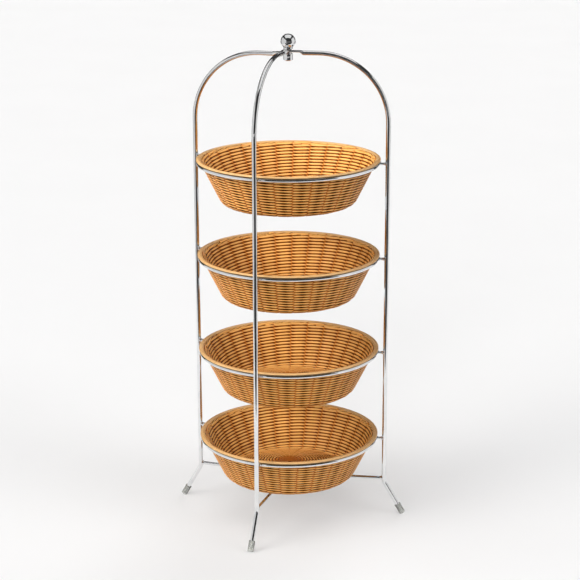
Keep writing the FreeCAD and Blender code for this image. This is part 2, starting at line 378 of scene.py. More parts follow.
def leg_rod(name):
    """A leg standing towards +X: its rod path, then the stations of its pressed end, as one tube."""
    tab_middle = STACK_UNDER + (HUB_STACK.index(name) + 0.5) * TAB_STEP
    run_height = tab_middle + TAB_HALF_THICKNESS - LEG_R
    foot_out = LEG_RADIUS + (FOOT_BEND_HEIGHT - FOOT_END_HEIGHT) * math.tan(FOOT_SPLAY)
    corners = [(foot_out, FOOT_END_HEIGHT), (LEG_RADIUS, FOOT_BEND_HEIGHT), (LEG_RADIUS, run_height)]
    corners.append((TAB_ROOT + TAB_BLEND, run_height))
    rod = bent_line(corners, [FOOT_BEND_RADIUS, ARCH_RADIUS])
    rod = np.insert(rod, 1, rod[0] + unit(rod[1] - rod[0]) * CUT_EDGE, axis=0)
    blend_x = np.linspace(TAB_ROOT + TAB_BLEND, TAB_ROOT, 9)[1:]
    eye_x = -TAB_HALF_WIDTH * np.sin(np.linspace(0, EYE_REACH, 10))
    tab_x = np.concatenate([blend_x, [TAB_ROOT / 2], eye_x])
    flat = np.concatenate([np.zeros(len(rod)), ease((TAB_ROOT + TAB_BLEND - tab_x) / TAB_BLEND)])
    x = np.concatenate([rod[:, 0], tab_x])
    rise = run_height + flat * (tab_middle - run_height)
    z = np.concatenate([rod[:, 1], rise[len(rod):]])
    eye = np.sqrt(np.clip(1 - (np.minimum(x, 0) / TAB_HALF_WIDTH) ** 2, 0, 1))
    half_side = (LEG_R + flat * (TAB_HALF_WIDTH - LEG_R)) * eye
    half_up = LEG_R + flat * (TAB_HALF_THICKNESS - LEG_R)
    path = np.stack([x, 0 * x, z], -1)
    along = np.gradient(path, axis=0)
    up = np.cross(along, (0, 1, 0))
    power = 2 + flat * (TAB_POWER - 2)
    return tubes(path[None], up, half_up, half_side, ROD_SIDES, power=power)


for name, angle in LEG_ANGLES.items():
    points, quads, fans = leg_rod(name)
    leg = put_mesh(f"{name}_leg_rod", turned(points, angle), quads, fans)
    give(leg, CHROME, "chrome", "frame", f"{name}_leg")
print("legs", round(LEG_RADIUS, 4), "from the axis, braces at height", round(BRACE_HEIGHT, 4))

# %% [markdown]
# ## Welded rods
# Short stubs hold the rings off the legs, and two braces under the bottom basket tie the feet together.
# Their ends are welded and plated over, so each end swells softly into the rod that it meets. The swelling
# is an exponential added to the radius near the ends, which costs a few stations and no extra piece.

# %% Stubs
STUB_R = 3.0 * MM
WELD_SIZE = 1.7 * MM
WELD_REACH = 1.5 * MM
FILLET = np.linspace(0, 5 * WELD_REACH, 9)
STUB_SIDES = 16
RING_COVER = 0.9 * RING_WIRE
LEG_COVER = 0.9 * LEG_R


def path_length(path):
    """Distance along a path (station, 3) at each station."""
    return np.concatenate([[0], np.cumsum(np.linalg.norm(np.diff(path, axis=0), axis=1))])


def welded_rod(path, radius, sides, first_cover, last_cover):
    """A rod whose radius swells by a fillet where it leaves the rods that cover its two ends."""
    s = path_length(path)
    near = np.minimum(np.abs(s - first_cover), np.abs(s[-1] - last_cover - s))
    size = radius + WELD_SIZE * np.exp(-near / WELD_REACH)
    return tubes(path[None], (0, 0, 1), size, size, sides)


def end_stations(length, first_cover, last_cover):
    """Distances along a rod, close together where a fillet needs them."""
    return np.unique(np.concatenate([[0.0], first_cover + FILLET, length - last_cover - FILLET, [length]]))


def along_line(start, end, s):
    """Points at distances s from start towards end."""
    start, end = np.array(start, float), np.array(end, float)
    return start + unit(end - start) * s[:, None]


def ring_stub(angle, height):
    """A straight welded rod from a ring's middle line to a leg's."""
    gap = LEG_RADIUS - RING_RADIUS
    s = end_stations(gap, RING_COVER, LEG_COVER)
    path = along_line((RING_RADIUS, 0, height), (LEG_RADIUS, 0, height), s)
    points, quads, fans = welded_rod(path, STUB_R, STUB_SIDES, RING_COVER, LEG_COVER)
    return turned(points, angle), quads, fans


for tier in TIERS:
    for name, angle in LEG_ANGLES.items():
        stub = put_mesh(f"{tier}_{name}_stub_weld", *ring_stub(angle, ring_size(tier)[1]))
        give(stub, CHROME, "chrome", "frame", f"{tier}_ring_{name}_stub")
print(len(TIERS) * len(LEG_ANGLES), "stubs welded")

# %% Braces
BRACE_BEND = 80.0 * MM
BRACE_SIDES = 20
BRACE_COVER = 0.9 * BRACE_R


def leg_spot(name):
    """Where a leg's middle line passes the height of the braces."""
    a = LEG_ANGLES[name]
    return np.array([LEG_RADIUS * math.cos(a), LEG_RADIUS * math.sin(a), BRACE_HEIGHT])


def refined(path, cover_first, cover_last):
    """A path with stations added near its ends for the weld fillets."""
    first = np.linalg.norm(path[1] - path[0])
    last = np.linalg.norm(path[-1] - path[-2])
    fillet = cover_first + FILLET
    start = along_line(path[0], path[1], fillet[fillet < first])
    fillet = cover_last + FILLET
    end = along_line(path[-1], path[-2], fillet[fillet < last])[::-1]
    return np.concatenate([path[:1], start, path[1:-1], end, path[-1:]])


side_line = bent_line([leg_spot("left")[:2], (0.0, 0.0), leg_spot("right")[:2]], [BRACE_BEND])
side_path = np.column_stack([side_line, np.full(len(side_line), BRACE_HEIGHT)])
side_path = refined(side_path, LEG_COVER, LEG_COVER)
side_rod = welded_rod(side_path, BRACE_R, BRACE_SIDES, LEG_COVER, LEG_COVER)
give(put_mesh("side_brace_rod", *side_rod), CHROME, "chrome", "frame", "side_brace")
front_path = np.stack([leg_spot("front"), np.array([0, 0, BRACE_HEIGHT])])
front_path = refined(front_path, LEG_COVER, BRACE_COVER)
front_rod = welded_rod(front_path, BRACE_R, BRACE_SIDES, LEG_COVER, BRACE_COVER)
give(put_mesh("front_brace_rod", *front_rod), CHROME, "chrome", "frame", "front_brace")
print("braces welded", round(BRACE_HEIGHT, 4), "above the floor")

# %% [markdown]
# ## Hub
# A ball with a collar is screwed down on the three flat ends, and a round nut closes the stack from below.
# Both are turned on a lathe, so both are a profile turned about the axis.

# %% Ball and nut
BALL_R = 16.0 * MM
COLLAR_R = 10.0 * MM
COLLAR_HEIGHT = 3.0 * MM
NUT_R = 10.0 * MM
NUT_ROUNDING = 3.0 * MM
EDGE = 0.6 * MM
BALL_SEGMENTS = 56
NUT_SEGMENTS = 48


def lathe(profile, segments):
    """A profile of (radius, height) from pole to pole turned about the Z axis, with a fan at each pole."""
    profile = np.asarray(profile, float)
    inner = profile[1:-1]
    points = spun(inner[:, None], full_turn(segments)).reshape(-1, 3)
    quads = grid_quads(len(inner), segments)[:, ::-1]
    poles = np.array([[0, 0, profile[0, 1]], [0, 0, profile[-1, 1]]])
    count = np.array([[len(points)]])
    fans = end_fans(0 * count, count - segments, count, segments)
    return np.concatenate([points, poles]), quads, fans


def arc(centre, radius, start, end, steps):
    """Points on an arc in a plane, with angles in radians, both ends included."""
    a = np.linspace(start, end, steps)
    return np.stack([centre[0] + radius * np.cos(a), centre[1] + radius * np.sin(a)], -1)


def ball_profile():
    """Collar with a broken edge, a small hollow at the neck, then the ball's arc to the top."""
    neck = -math.acos((COLLAR_R - EDGE) / BALL_R)
    middle = STACK_TOP + COLLAR_HEIGHT - BALL_R * math.sin(neck)
    rows = [np.array([[0, STACK_TOP], [COLLAR_R - EDGE, STACK_TOP]])]
    rows.append(arc((COLLAR_R - EDGE, STACK_TOP + EDGE), EDGE, -math.pi / 2, 0, 5)[1:])
    rows.append(arc((COLLAR_R - EDGE, STACK_TOP + COLLAR_HEIGHT - EDGE), EDGE, 0, math.pi / 2, 5))
    rows.append(arc((0, middle), BALL_R, neck, math.pi / 2, 36)[1:])
    profile = np.concatenate(rows)
    profile[-1, 0] = 0
    return profile


def nut_profile():
    """A round foot, a straight side and a broken upper edge."""
    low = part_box("hub_nut")[0][2]
    rows = [np.array([[0, low]])]
    rows.append(arc((NUT_R - NUT_ROUNDING, low + NUT_ROUNDING), NUT_ROUNDING, -math.pi / 2, 0, 10))
    rows.append(arc((NUT_R - EDGE, STACK_UNDER - EDGE), EDGE, 0, math.pi / 2, 5))
    rows.append(np.array([[0, STACK_UNDER]]))
    return np.concatenate(rows)


ball = put_mesh("ball_and_collar", *lathe(ball_profile(), BALL_SEGMENTS))
give(ball, CHROME, "chrome", "frame", "finial_ball")
nut = put_mesh("round_nut", *lathe(nut_profile(), NUT_SEGMENTS))
give(nut, CHROME, "chrome", "frame", "hub_nut")
print("ball on a stack of", len(HUB_STACK), "pressed ends")

# %% [markdown]
# ## Foot caps
# A soft grey plastic cap protects the floor from each rod end. It is cloudy but clear enough to show the rod
# inside, and its upper edge is a thin bead. Where the tilted cap meets the floor its edge is worn flat:
# every point that would lie below the floor is pressed up to it.

# %% Foot caps
CAP_R = 7.0 * MM
CAP_LENGTH = 24.0 * MM
CAP_FLOOR = 3.0 * MM
CAP_ROUNDING = 2.0 * MM
CAP_BORE = 5.1 * MM
CAP_LIP = 0.8 * MM
SOLE_DEPTH = 1.0 * MM
BEAD_STEP = 0.3 * MM
BEAD_LOW = 3.2 * MM
BEAD_HIGH = 2.6 * MM
CAP_SEGMENTS = 40


def cap_plastic():
    """Cloudy clear plastic with a faint grain."""
    material, tree, shader = new_material("cap_plastic")
    cloud = object_noise(tree, 160.0, 4.0)
    colour = ramp(tree, cloud, (0.3, (0.74, 0.75, 0.70)), (0.7, (0.86, 0.87, 0.83)))
    tree.links.new(colour, shader.inputs["Base Color"])
    tree.links.new(spread(tree, cloud, 0.10, 0.24), shader.inputs["Roughness"])
    shader.inputs["Transmission Weight"].default_value = 0.85
    shader.inputs["IOR"].default_value = 1.49
    bump(tree, shader, object_noise(tree, 900.0, 2.0), 0.08, 0.0005)
    return material


def cap_profile():
    """From the middle of the sole up the outside to the lip and down the bore."""
    rows = [np.array([[0, 0]])]
    rows.append(arc((CAP_R - CAP_ROUNDING, CAP_ROUNDING), CAP_ROUNDING, -math.pi / 2, 0, 8))
    rows.append(np.array([[CAP_R - BEAD_STEP, CAP_LENGTH - BEAD_LOW], [CAP_R, CAP_LENGTH - BEAD_HIGH]]))
    rows.append(arc((CAP_R - CAP_LIP, CAP_LENGTH - CAP_LIP), CAP_LIP, 0, math.pi / 2, 6))
    rows.append(np.array([[CAP_BORE, CAP_LENGTH], [CAP_BORE, CAP_FLOOR], [0, CAP_FLOOR]]))
    return np.concatenate(rows)


CAP_PLASTIC = cap_plastic()
points, quads, fans = lathe(cap_profile(), CAP_SEGMENTS)
end_height = (CAP_R - CAP_ROUNDING) * math.sin(FOOT_SPLAY) - SOLE_DEPTH
end_out = LEG_RADIUS + (FOOT_BEND_HEIGHT - end_height) * math.tan(FOOT_SPLAY)
tilt = np.array(Matrix.Rotation(-FOOT_SPLAY, 3, "Y"))
cap_points = points @ tilt.T + (end_out, 0, end_height)
cap_points[:, 2] = np.maximum(cap_points[:, 2], 0)
for name, angle in LEG_ANGLES.items():
    cap = put_mesh(f"{name}_cap", turned(cap_points, angle), quads, fans)
    give(cap, CAP_PLASTIC, "foot_plastic", "frame", f"{name}_foot_cap")
print("caps reach", round(end_out, 4), "from the axis")

# %% [markdown]
# ## Cane
# The baskets are woven from golden cane. Each strand has its own tone and fine lines along its length. Light
# and shade are painted into the cane's colour: the parts of a strand that stand out of the weave are painted
# paler, as painted light, and the parts that dive between their neighbours are painted redder and darker, as
# painted shade. The weave works that out as it is made and stores it on the mesh as one value of painted
# light, with "length" along the strand and "row", so one material serves wall and base.
# "length" along the strand and "row", so one material serves wall and base.

# %% Cane finishes
def attribute(tree, name):
    """A value stored on the mesh."""
    node = tree.nodes.new("ShaderNodeAttribute")
    node.attribute_name = name
    return node.outputs["Fac"]


def strand_noise(tree, along_scale, detail):
    """Noise stretched along a strand: it reads the strand's length and its row number."""
    place = tree.nodes.new("ShaderNodeCombineXYZ")
    tree.links.new(attribute(tree, "length"), place.inputs["X"])
    tree.links.new(attribute(tree, "row"), place.inputs["Y"])
    tree.links.new(attribute(tree, "round"), place.inputs["Z"])
    mapping = add_node(tree, "ShaderNodeMapping", Scale=(along_scale, 0.9, 1.6))
    noise = add_node(tree, "ShaderNodeTexNoise", Scale=1.0, Detail=detail)
    tree.links.new(place.outputs["Vector"], mapping.inputs["Vector"])
    tree.links.new(mapping.outputs["Vector"], noise.inputs["Vector"])
    return noise.outputs["Fac"]


def shaded(tree, amount, first, second):
    """A colour multiplied by another one, to the given amount."""
    node = tree.nodes.new("ShaderNodeMix")
    node.data_type = "RGBA"
    node.blend_type = "MULTIPLY"
    node.inputs["Factor"].default_value = amount
    tree.links.new(first, node.inputs["A"])
    tree.links.new(second, node.inputs["B"])
    return node.outputs["Result"]


def cane_finish(name, deep, middle, pale, roughness):
    """Cane from three tones: deep as painted shade in the gaps, middle on the strand, pale as painted light
    where it stands out.
    """
    material, tree, shader = new_material(name)
    tone = ramp(tree, attribute(tree, "painted_light"), (0.55, deep), (0.78, middle), (0.97, pale))
    patch = ramp(tree, strand_noise(tree, 16.0, 3.0), (0.25, (0.62, 0.55, 0.48)), (0.72, (1.0, 1.0, 1.0)))
    tone = shaded(tree, 0.75, tone, patch)
    tree.links.new(tone, shader.inputs["Base Color"])
    shine = spread(tree, attribute(tree, "painted_light"), 0.0, 0.5, start=0.44)
    tree.links.new(shine, shader.inputs["Specular IOR Level"])
    grain = strand_noise(tree, 60.0, 5.0)
    tree.links.new(spread(tree, grain, roughness - 0.10, roughness + 0.12), shader.inputs["Roughness"])
    bump(tree, shader, grain, 0.25, 0.0004)
    return material


WEAVE_CANE = cane_finish("weave_cane", (0.055, 0.010, 0.001), (0.66, 0.19, 0.020), (1.0, 0.575, 0.170), 0.35)
STAKE_CANE = cane_finish("stake_cane", (0.07, 0.015, 0.003), (0.30, 0.075, 0.015), (0.42, 0.13, 0.03), 0.48)
RIM_CANE = cane_finish("rim_cane", (0.34, 0.15, 0.045), (0.68, 0.37, 0.13), (0.86, 0.56, 0.26), 0.36)
print("cane finishes for the weave, the stakes and the rim")

# %% [markdown]
# ## The weave
# The base is plain weaving: one long strand wound from the middle outwards, over a cane and under the next.
# The wall is woven with nine strands that start side by side and follow one another round. Each goes outside
# one stake and inside the next and climbs nine rows to a turn, so no row ever closes and there is no seam.
# Both follow one middle line, which comes from the CAD solids: a low dome, a round turn and a straight slope.

# %% The weave's middle line
STAKES = 29
STRAND_HALF_THICK = 1.9 * MM
STRAND_SWING = 1.4 * MM
WEAVE_INSET = STRAND_SWING + STRAND_HALF_THICK
CAD_THICKNESS = 6.0 * MM
CORNER_R = 22.0 * MM
BORDER_OVERHANG = 6.0 * MM
rim_low, rim_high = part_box("top_basket_border")
side_low, side_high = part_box("top_basket_side")
base_low, base_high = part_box("top_basket_base")
RIM_RADIUS = rim_high[0]
RIM_MIDDLE = (rim_low[2] + rim_high[2]) / 2
BORDER_HALF = (rim_high[2] - rim_low[2]) / 2
DEPTH = RIM_MIDDLE - side_low[2]
DOME = base_high[2] - base_low[2] - CAD_THICKNESS
WALL_TOP_RADIUS = RIM_RADIUS - BORDER_OVERHANG
LEAN = math.atan2(WALL_TOP_RADIUS - side_high[0], BORDER_HALF)
TURN = math.pi / 2 - LEAN
FOOT_RADIUS = WALL_TOP_RADIUS - DEPTH * math.tan(LEAN)
BASE_EDGE = FOOT_RADIUS - CORNER_R * math.tan(TURN / 2)
TURN_MIDDLE = (BASE_EDGE, CORNER_R - DEPTH)
TURN_R = CORNER_R - WEAVE_INSET
TURN_LENGTH = TURN_R * TURN


def base_line(s):
    """Radius, height, downward normal and outward slope of the base at distance s from its middle.

    The height is a parabola, highest in the middle and level with the wall's lower end at the edge."""
    height = WEAVE_INSET - DEPTH + DOME * (1 - (s / BASE_EDGE) ** 2)
    slope = unit(np.stack([np.ones_like(s), -2 * DOME * s / BASE_EDGE ** 2], -1))
    normal = np.stack([slope[..., 1], -slope[..., 0]], -1)
    return np.stack([s, height], -1), normal, slope


def wall_line(s):
    """Radius, height, outward normal and upward slope of the wall at distance s from the base's edge.

    The first stretch is the round turn, an arc from straight down to the wall's own direction; beyond it
    the line runs straight. Heights are from the middle of the border."""
    angle = -math.pi / 2 + np.clip(s / TURN_R, 0, TURN)
    beyond = np.maximum(s - TURN_LENGTH, 0)
    normal = np.stack([np.cos(angle), np.sin(angle)], -1)
    slope = np.stack([-np.sin(angle), np.cos(angle)], -1)
    line = np.array(TURN_MIDDLE) + TURN_R * normal + slope * beyond[..., None]
    return line, normal, slope


def weave_line(s):
    """The base's line and then the wall's, by the distance from the middle of the base."""
    on_base = (s < BASE_EDGE)[..., None]
    base, wall = base_line(np.minimum(s, BASE_EDGE)), wall_line(np.maximum(s - BASE_EDGE, 0))
    return [np.where(on_base, b, w) for b, w in zip(base, wall)]


WALL_LENGTH = TURN_LENGTH + (-BORDER_HALF - TURN_MIDDLE[1] + TURN_R * math.sin(LEAN)) / math.cos(LEAN)
print("wall of", round(WALL_LENGTH / MM, 1), "mm, leaning", round(math.degrees(LEAN), 1), "degrees")

# %% [markdown]
# ## The strands
# A strand's place across the weave is a cosine, half a turn to a stake, pushed through tanh so that it stays
# long on one face and crosses quickly to the other. Outside, the stake pulls the strand narrow, and the gap
# above and below it has the shape of a lens. Inside, the strand lies wide and the rows look closed. In the
# middle of the base the canes are too close for weaving, so there the strand lies in a flat coil and the
# swing grows with the distance.

# %% Strand sizes
ROW_STEP = 3.64 * MM
HALF_OUT_MIDDLE, HALF_OUT_END = 1.7 * MM, 3.2 * MM
HALF_IN_MIDDLE, HALF_IN_END = 3.25 * MM, 2.2 * MM
HALF_CROSSING = 2.45 * MM
BASE_HALF_WIDE = 1.85 * MM
FLATTENING = 7.0
GAP_STATIONS = 10
BASE_STATIONS = 6
BASE_SIDES, WALL_SIDES = 6, 8
CROWDING = 0.75
# Painted light: lifts the inner face of a strand that lies outside, and the crossings, out of the painted
# shade.
PAINTED_LIGHT_BEHIND = 0.60
CROSSING_TONE = 0.45
ROW_LEAN = 3.4 * MM
LEAN_INSIDE, LEAN_OUTSIDE = 1.0, 0.7
LEAN_END = 8
OUT_LENS = 0.34
IN_FLAT, IN_TAPER = 0.2, 0.2
COIL_START = 3.0 * MM
COIL_RADIUS = 20.0 * MM
FULL_SWING_RADIUS = 46.0 * MM
WALL_START = BASE_EDGE - 2.5 * MM
WEAVE_TOP = BASE_EDGE + WALL_LENGTH + 0.3 * MM
WALL_STARTS = 9
WALL_STEPS = round((WEAVE_TOP - WALL_START) / ROW_STEP * STAKES / WALL_STARTS)
BASE_STEPS = round((BASE_EDGE + 5.0 * MM - COIL_START) / ROW_STEP * STAKES)
print("stakes passed by a strand of the base and of the wall:", BASE_STEPS, WALL_STEPS)

# %% Strand tubes
def cane_values(shape, painted_light, length, row, ends=2):
    """What the cane finish reads, for tubes of shape (tube, station, side), with end points to each tube."""
    round_it = 0.5 + 0.5 * np.sin(full_turn(shape[2]))
    values = {"painted_light": painted_light, "length": length, "row": row, "round": round_it}
    middles = np.full(ends * shape[0], 0.5)
    return [(k, np.concatenate([np.broadcast_to(v, shape).ravel(), middles])) for k, v in values.items()]


def stake_count(first, steps, stations):
    """Stake numbers along a strand, from the first one on, with stations crowded at the crossings."""
    u = first + np.arange(steps * stations + 1) / stations
    return u + CROWDING * np.sin(2 * np.pi * u) / (2 * np.pi)


def swing(q):
    """1 outside and -1 inside, by turns at each stake: a cosine pushed flat by tanh."""
    return np.tanh(FLATTENING * np.cos(np.pi * q)) / math.tanh(FLATTENING)


def strand_tubes(q, s, angle, half, row, sides):
    """Strands that have passed q stakes at distances s and at angles (strand, station).

    Across the weave they follow the swing. Their tone is painted light where they lie on a face and painted
    shade along their edges and where they lie behind others, with less painted shade at the crossings and on
    the inner face of a strand that lies outside."""
    across = swing(q) * ease((s - COIL_RADIUS) / (FULL_SWING_RADIUS - COIL_RADIUS))
    line, normal, slope = weave_line(s)
    line = line + normal * (across * STRAND_SWING)[..., None]
    path = spun(line, angle)
    tube = tubes(path, spun(slope, angle), half, STRAND_HALF_THICK, sides)
    facing = np.cos(full_turn(sides))
    across = across[..., None]
    # Painted light and shade: pale on the face a strand shows, deep along its edges and on the face behind
    # others.
    painted_light = 0.5 + 0.5 * (CROSSING_TONE * (1 - np.abs(across)) * np.abs(facing) - across * facing)
    painted_light = painted_light + PAINTED_LIGHT_BEHIND * np.maximum(across, 0) * np.maximum(facing, 0)
    return tube, cane_values((*angle.shape, sides), painted_light, path_length(path[0])[None, :, None], row)


print("a quarter of the way to the next stake a strand keeps", round(float(swing(0.25)), 3), "of its swing")

# %% Base and wall strands
def base_strand():
    """One spiral from the middle of the base to its edge, a row step to a turn."""
    q = stake_count(0, BASE_STEPS, BASE_STATIONS)
    s = COIL_START + ROW_STEP * q / STAKES
    row = (q / STAKES)[None, :, None]
    return strand_tubes(q, s, 2 * np.pi / STAKES * q[None], BASE_HALF_WIDE, row, BASE_SIDES)


def wall_half_height(off, across):
    """Half the height of a wall strand at a distance off its stake, in stakes.

    Outside, the strand is narrow over the stake and wide beside it, which leaves a gap like a lens at each
    stake. Inside it is wide over the stake and narrow at its ends."""
    outside = HALF_OUT_MIDDLE + (HALF_OUT_END - HALF_OUT_MIDDLE) * ease(np.abs(off) / OUT_LENS)
    inside = HALF_IN_MIDDLE + (HALF_IN_END - HALF_IN_MIDDLE) * ease((np.abs(off) - IN_FLAT) / IN_TAPER)
    face = np.where(across > 0, outside, inside)
    return HALF_CROSSING + (face - HALF_CROSSING) * np.abs(across)


def wall_strands():
    """Nine strands in step, each climbing nine rows to a turn, outside where its neighbours are inside.

    Between crossings they lean against the climb, more inside than outside, so that the rows run on. The
    lean grows with the distance off the stake and drops to nothing, by a high power, at the crossing."""
    first = STAKES / WALL_STARTS * np.arange(WALL_STARTS)[:, None]
    q = stake_count(first, WALL_STEPS, GAP_STATIONS)
    passed = q + np.arange(WALL_STARTS)[:, None]
    climb = (q - first) * WALL_STARTS / STAKES
    off = q - np.round(q)
    across = swing(passed)
    share = (LEAN_INSIDE + LEAN_OUTSIDE) / 2 - (LEAN_INSIDE - LEAN_OUTSIDE) / 2 * across
    lean = ROW_LEAN * off * (1 - (2 * off) ** LEAN_END) * share
    s = WALL_START + ROW_STEP * climb - lean
    row = (climb + np.arange(WALL_STARTS)[:, None])[..., None]
    half = wall_half_height(off, across)
    return strand_tubes(passed, s, 2 * np.pi / STAKES * q, half, row, WALL_SIDES)


base_tube, base_finish = base_strand()
wall_tube, wall_finish = wall_strands()
print("base and wall in quads:", len(base_tube[1]), len(wall_tube[1]))

# %% [markdown]
# ## The stakes
# The stakes are the ribs that the strands go round: canes that run out from the middle of the base, and wall
# stakes that are pushed in beside them and bent up. They are flat, coloured darker than the strands and
# darkened further by painted shade for the shade of the weave, most on their outer side. They follow the same
# middle line, one at each place where the swing is greatest.

# %% Stakes
STAKE_HALF_THICK = 0.7 * MM
STAKE_HALF_WIDE = 2.4 * MM
STAKE_SIDES = 8
STAKE_TONE, STAKE_SHADE = 0.32, 0.28
TONE_STEP = 3.7


def fan_of_canes(s, half_wide):
    """Flat canes along the weave's line at distances s, one at each stake's angle, thin across the weave."""
    line, normal, _ = weave_line(s)
    angle = full_turn(STAKES)[:, None]
    path = spun(line, angle)
    tube = tubes(path, spun(normal, angle), STAKE_HALF_THICK, half_wide, STAKE_SIDES)
    # Painted shade: a low tone, lowest on the side that faces out of the basket.
    painted_light = STAKE_TONE - STAKE_SHADE * np.sin(full_turn(STAKE_SIDES))
    row = TONE_STEP * np.arange(STAKES)[:, None, None]
    return tube, cane_values((STAKES, len(s), STAKE_SIDES), painted_light, path_length(path[0])[None, :, None], row)


spoke_s = np.linspace(COIL_RADIUS, BASE_EDGE, 12)
spoke_wide = STAKE_HALF_WIDE * np.clip(spoke_s / FULL_SWING_RADIUS, 0.4, 1.0)
spoke_tube, spoke_finish = fan_of_canes(spoke_s, spoke_wide)
bend_s = np.linspace(0, TURN_LENGTH, 8)
stake_s = BASE_EDGE + np.concatenate([bend_s, np.linspace(TURN_LENGTH, WALL_LENGTH, 6)[1:]])
stake_tube, stake_finish = fan_of_canes(stake_s, STAKE_HALF_WIDE)
print(STAKES, "stakes,", round(2 * math.pi * WALL_TOP_RADIUS / STAKES / MM, 1), "mm apart at the top")

# %% [markdown]
# ## The border
# At the top the stakes bend over and the rim is wrapped into a low smooth roll. Seen close, the roll is a
# rope of eleven long-laid canes, paler than the wall because hands polish it. Each cane is a helix round
# the roll's own middle line, with a whole number of turns, so that it closes on itself. Under the roll,
# inside the basket, the bent stake ends lie in a row of slanting strands.

# %% Border roll
ROLL_CANES = 11
ROLL_TURNS = 5
ROLL_CANE_R = 1.1 * MM
ROLL_CANE_WIDE = 1.05 * ROLL_CANE_R
ROLL_HALF_WIDE = 5.5 * MM
ROLL_HALF_HIGH = 1.8 * MM
ROLL_STATIONS = 216
ROLL_SIDES = 8
ROLL_TONE_STEP = 5.3
ROLL_RADIUS = RIM_RADIUS - ROLL_HALF_WIDE
ROLL_HEIGHT = ROLL_HALF_HIGH - BORDER_HALF


def border_roll():
    """Helices on an oval: the offset from the roll's middle is an ellipse, a turn for each lay length."""
    t = full_turn(ROLL_STATIONS)
    phase = full_turn(ROLL_CANES)[:, None] + ROLL_TURNS * t
    line = np.stack([ROLL_RADIUS + (ROLL_HALF_WIDE - ROLL_CANE_R) * np.cos(phase),
                     ROLL_HEIGHT + (ROLL_HALF_HIGH - ROLL_CANE_R) * np.sin(phase)], -1)
    out = np.stack([np.cos(phase), np.sin(phase)], -1)
    tube = tubes(spun(line, t), spun(out, t), ROLL_CANE_R, ROLL_CANE_WIDE, ROLL_SIDES, closed=True)
    shape = (ROLL_CANES, ROLL_STATIONS, ROLL_SIDES)
    # Painted light and shade on the roll: each cane is pale on the side that faces out of the roll and dark
    # on the side turned into it.
    facing = 0.5 + 0.5 * np.sin(full_turn(ROLL_SIDES))
    length = (RIM_RADIUS * t)[None, :, None]
    row = ROLL_TONE_STEP * np.arange(ROLL_CANES)[:, None, None]
    return tube, cane_values(shape, facing, length, row, ends=0)


roll_tube, roll_finish = border_roll()
print("roll of", ROLL_CANES, "canes with", ROLL_TURNS, "turns round the rim")

# %% Turned-in stake ends
ENDS = 2 * STAKES
END_GAPS = 1.1
END_STATIONS = 14
END_R = 1.3 * MM
END_START = WALL_LENGTH - 4.5 * MM
END_RISE = 5.5 * MM
END_INSIDE = STRAND_SWING + 0.8 * MM
END_SIDES = 6
END_TONE = 0.95
END_DIVE = 0.75 * math.pi


def turned_in_ends():
    """Two strands from each stake, slanting on the inside of the wall's top.

    Their distance inside the weave's middle line is a cosine that passes zero, so they end under the roll."""
    start = full_turn(ENDS)[:, None]
    t = np.linspace(0, 1, END_STATIONS)[None]
    angle = start - 2 * np.pi / STAKES * END_GAPS * t
    line, normal, slope = wall_line(END_START + END_RISE * ease(t))
    path = spun(line - normal * (END_INSIDE * np.cos(END_DIVE * t))[..., None], angle)
    tube = tubes(path, spun(slope, angle), END_R, END_R, END_SIDES)
    row = TONE_STEP * np.arange(ENDS)[:, None, None]
    length = path_length(path[0])[None, :, None]
    return tube, cane_values((ENDS, END_STATIONS, END_SIDES), END_TONE, length, row)


end_tube, end_finish = turned_in_ends()
print(ENDS, "stake ends turned in under the roll")

# %% [markdown]
# ## Four baskets
# All four baskets are woven alike. Each copy is lifted to its ring and turned a little, so that the stakes
# and the tones of the strands do not line up from tier to tier. A basket lifts out of its ring, so its
# pieces ride on its own body.

# %% Baskets in their rings
TIER_TURN = math.radians(137.5)
TIER_SHIFT = {"row": 40.0, "length": 3.0}


def basket_piece(tier, name, tube, finish):
    """A copy of a woven piece at its tier's height and turn."""
    order = TIERS.index(tier)
    low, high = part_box(f"{tier}_basket_border")
    points = turned(tube[0], order * TIER_TURN) + (0, 0, (low[2] + high[2]) / 2)
    values = [(key, value + order * TIER_SHIFT.get(key, 0.0)) for key, value in finish]
    return put_mesh(f"{tier}_{name}", points, *tube[1:], attributes=values)


for tier in TIERS:
    body = f"{tier}_basket"
    give(basket_piece(tier, "wall_weave", wall_tube, wall_finish), WEAVE_CANE, "cane", body, f"{body}_side")
    give(basket_piece(tier, "wall_stakes", stake_tube, stake_finish), STAKE_CANE, "cane", body)
    give(basket_piece(tier, "base_weave", base_tube, base_finish), WEAVE_CANE, "cane", body, f"{body}_base")
    give(basket_piece(tier, "base_canes", spoke_tube, spoke_finish), STAKE_CANE, "cane", body)
    roll = basket_piece(tier, "border_roll", roll_tube, roll_finish)
    give(roll, RIM_CANE, "rim_cane", body, f"{body}_border")
    give(basket_piece(tier, "turned_in_ends", end_tube, end_finish), WEAVE_CANE, "cane", body)
print("four baskets of six pieces")

# %% [markdown]
# ## Studio
# A wide sheet of pale paper fills the picture. It glows a little by itself, so that its brightness can be set
# without changing the light on the baskets, and it throws no light back on them.

# %% Paper floor
FLOOR_SIZE = 60.0
PAPER = (0.66, 0.66, 0.665)
PAPER_GLOW = 0.228


def painted(name, colour, glow=0.0):
    """A matt painted finish with a faint mottle; glow makes it a lit panel."""
    material, tree, shader = new_material(name)
    tone = ramp(tree, object_noise(tree, 2.0), (0.3, [0.985 * c for c in colour]), (0.7, colour))
    tree.links.new(tone, shader.inputs["Base Color"])
    shader.inputs["Roughness"].default_value = 0.9
    shader.inputs["Specular IOR Level"].default_value = 0.0
    shader.inputs["Emission Color"].default_value = (1.0, 1.0, 1.0, 1.0)
    shader.inputs["Emission Strength"].default_value = glow
    return material


def staged(name, points, quads, material):
    """A piece of the studio, which is not part of the object."""
    sheet = put_mesh(name, points, quads)
    sheet.data.materials.append(material)
    return sheet


